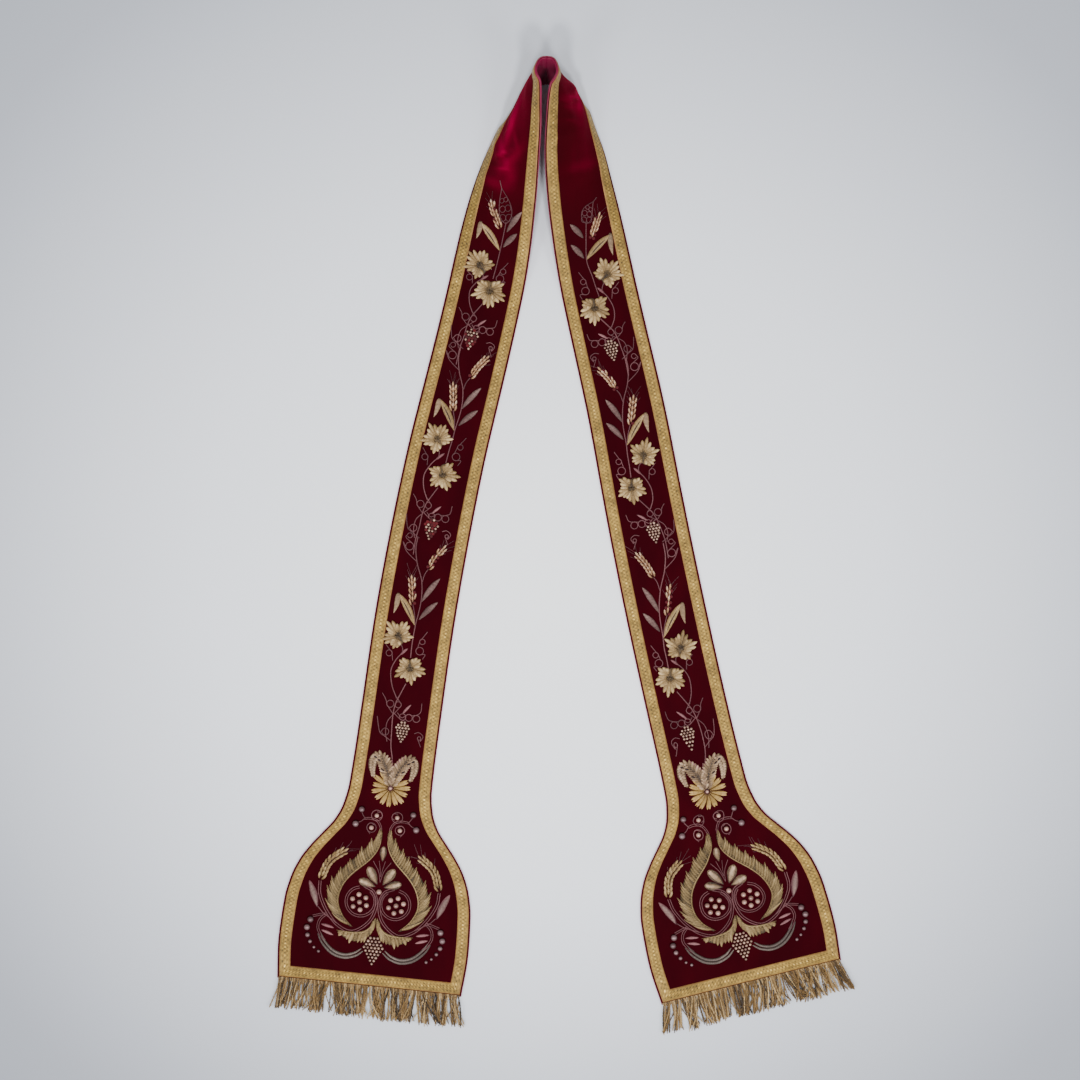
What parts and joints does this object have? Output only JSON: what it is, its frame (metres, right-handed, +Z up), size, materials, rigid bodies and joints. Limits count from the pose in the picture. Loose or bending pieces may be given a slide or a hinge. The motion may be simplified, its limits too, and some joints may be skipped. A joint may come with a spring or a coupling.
{
  "type": "clerical stole",
  "caption": "Lined velvet clerical stole with bell-shaped ends, gold braid edging, metal fringe and raised gold embroidery, laid flat with its neck bend on edge.",
  "frame": {"origin": "on the surface it lies on, under the middle of its bounding box", "axes": "+Z up off the surface, +Y along the length from the hems to the neck, +X to the right leg as seen from above"},
  "size_m": [0.6622, 1.084, 0.0799],
  "materials": {
    "velvet": "dark wine-red velvet with a short pile, redder where it turns up to the light",
    "lining": "crimson silk lining, satin",
    "braid": "woven gold metal braid with a small lozenge pattern",
    "fringe": "twisted tarnished gold and silver metal cords",
    "goldwork": "raised metal-thread embroidery, tarnished gold and silver-gilt, with pearls and spangles"
  },
  "bodies": {
    "root": {"velvet_left": "velvet", "lining_left": "lining", "braid_outer_left": "braid", "braid_inner_left": "braid", "braid_hem_left": "braid", "fringe_left": "fringe", "leaf_1_left": "goldwork", "leaf_2_left": "goldwork", "leaf_3_left": "goldwork", "leaf_4_left": "goldwork", "leaf_5_left": "goldwork", "leaf_6_left": "goldwork", "bunch_1_left": "goldwork", "bunch_2_left": "goldwork", "bunch_3_left": "goldwork", "bunch_low_left": "goldwork", "daisy_left": "goldwork", "palmette_left": "goldwork", "palm_inner_left": "goldwork", "palm_outer_left": "goldwork", "acanthus_inner_left": "goldwork", "acanthus_outer_left": "goldwork", "velvet_right": "velvet", "lining_right": "lining", "braid_outer_right": "braid", "braid_inner_right": "braid", "braid_hem_right": "braid", "fringe_right": "fringe", "leaf_1_right": "goldwork", "leaf_2_right": "goldwork", "leaf_3_right": "goldwork", "leaf_4_right": "goldwork", "leaf_5_right": "goldwork", "leaf_6_right": "goldwork", "bunch_1_right": "goldwork", "bunch_2_right": "goldwork", "bunch_3_right": "goldwork", "bunch_low_right": "goldwork", "daisy_right": "goldwork", "palmette_right": "goldwork", "palm_inner_right": "goldwork", "palm_outer_right": "goldwork", "acanthus_inner_right": "goldwork", "acanthus_outer_right": "goldwork"}
  },
  "joints": []
}
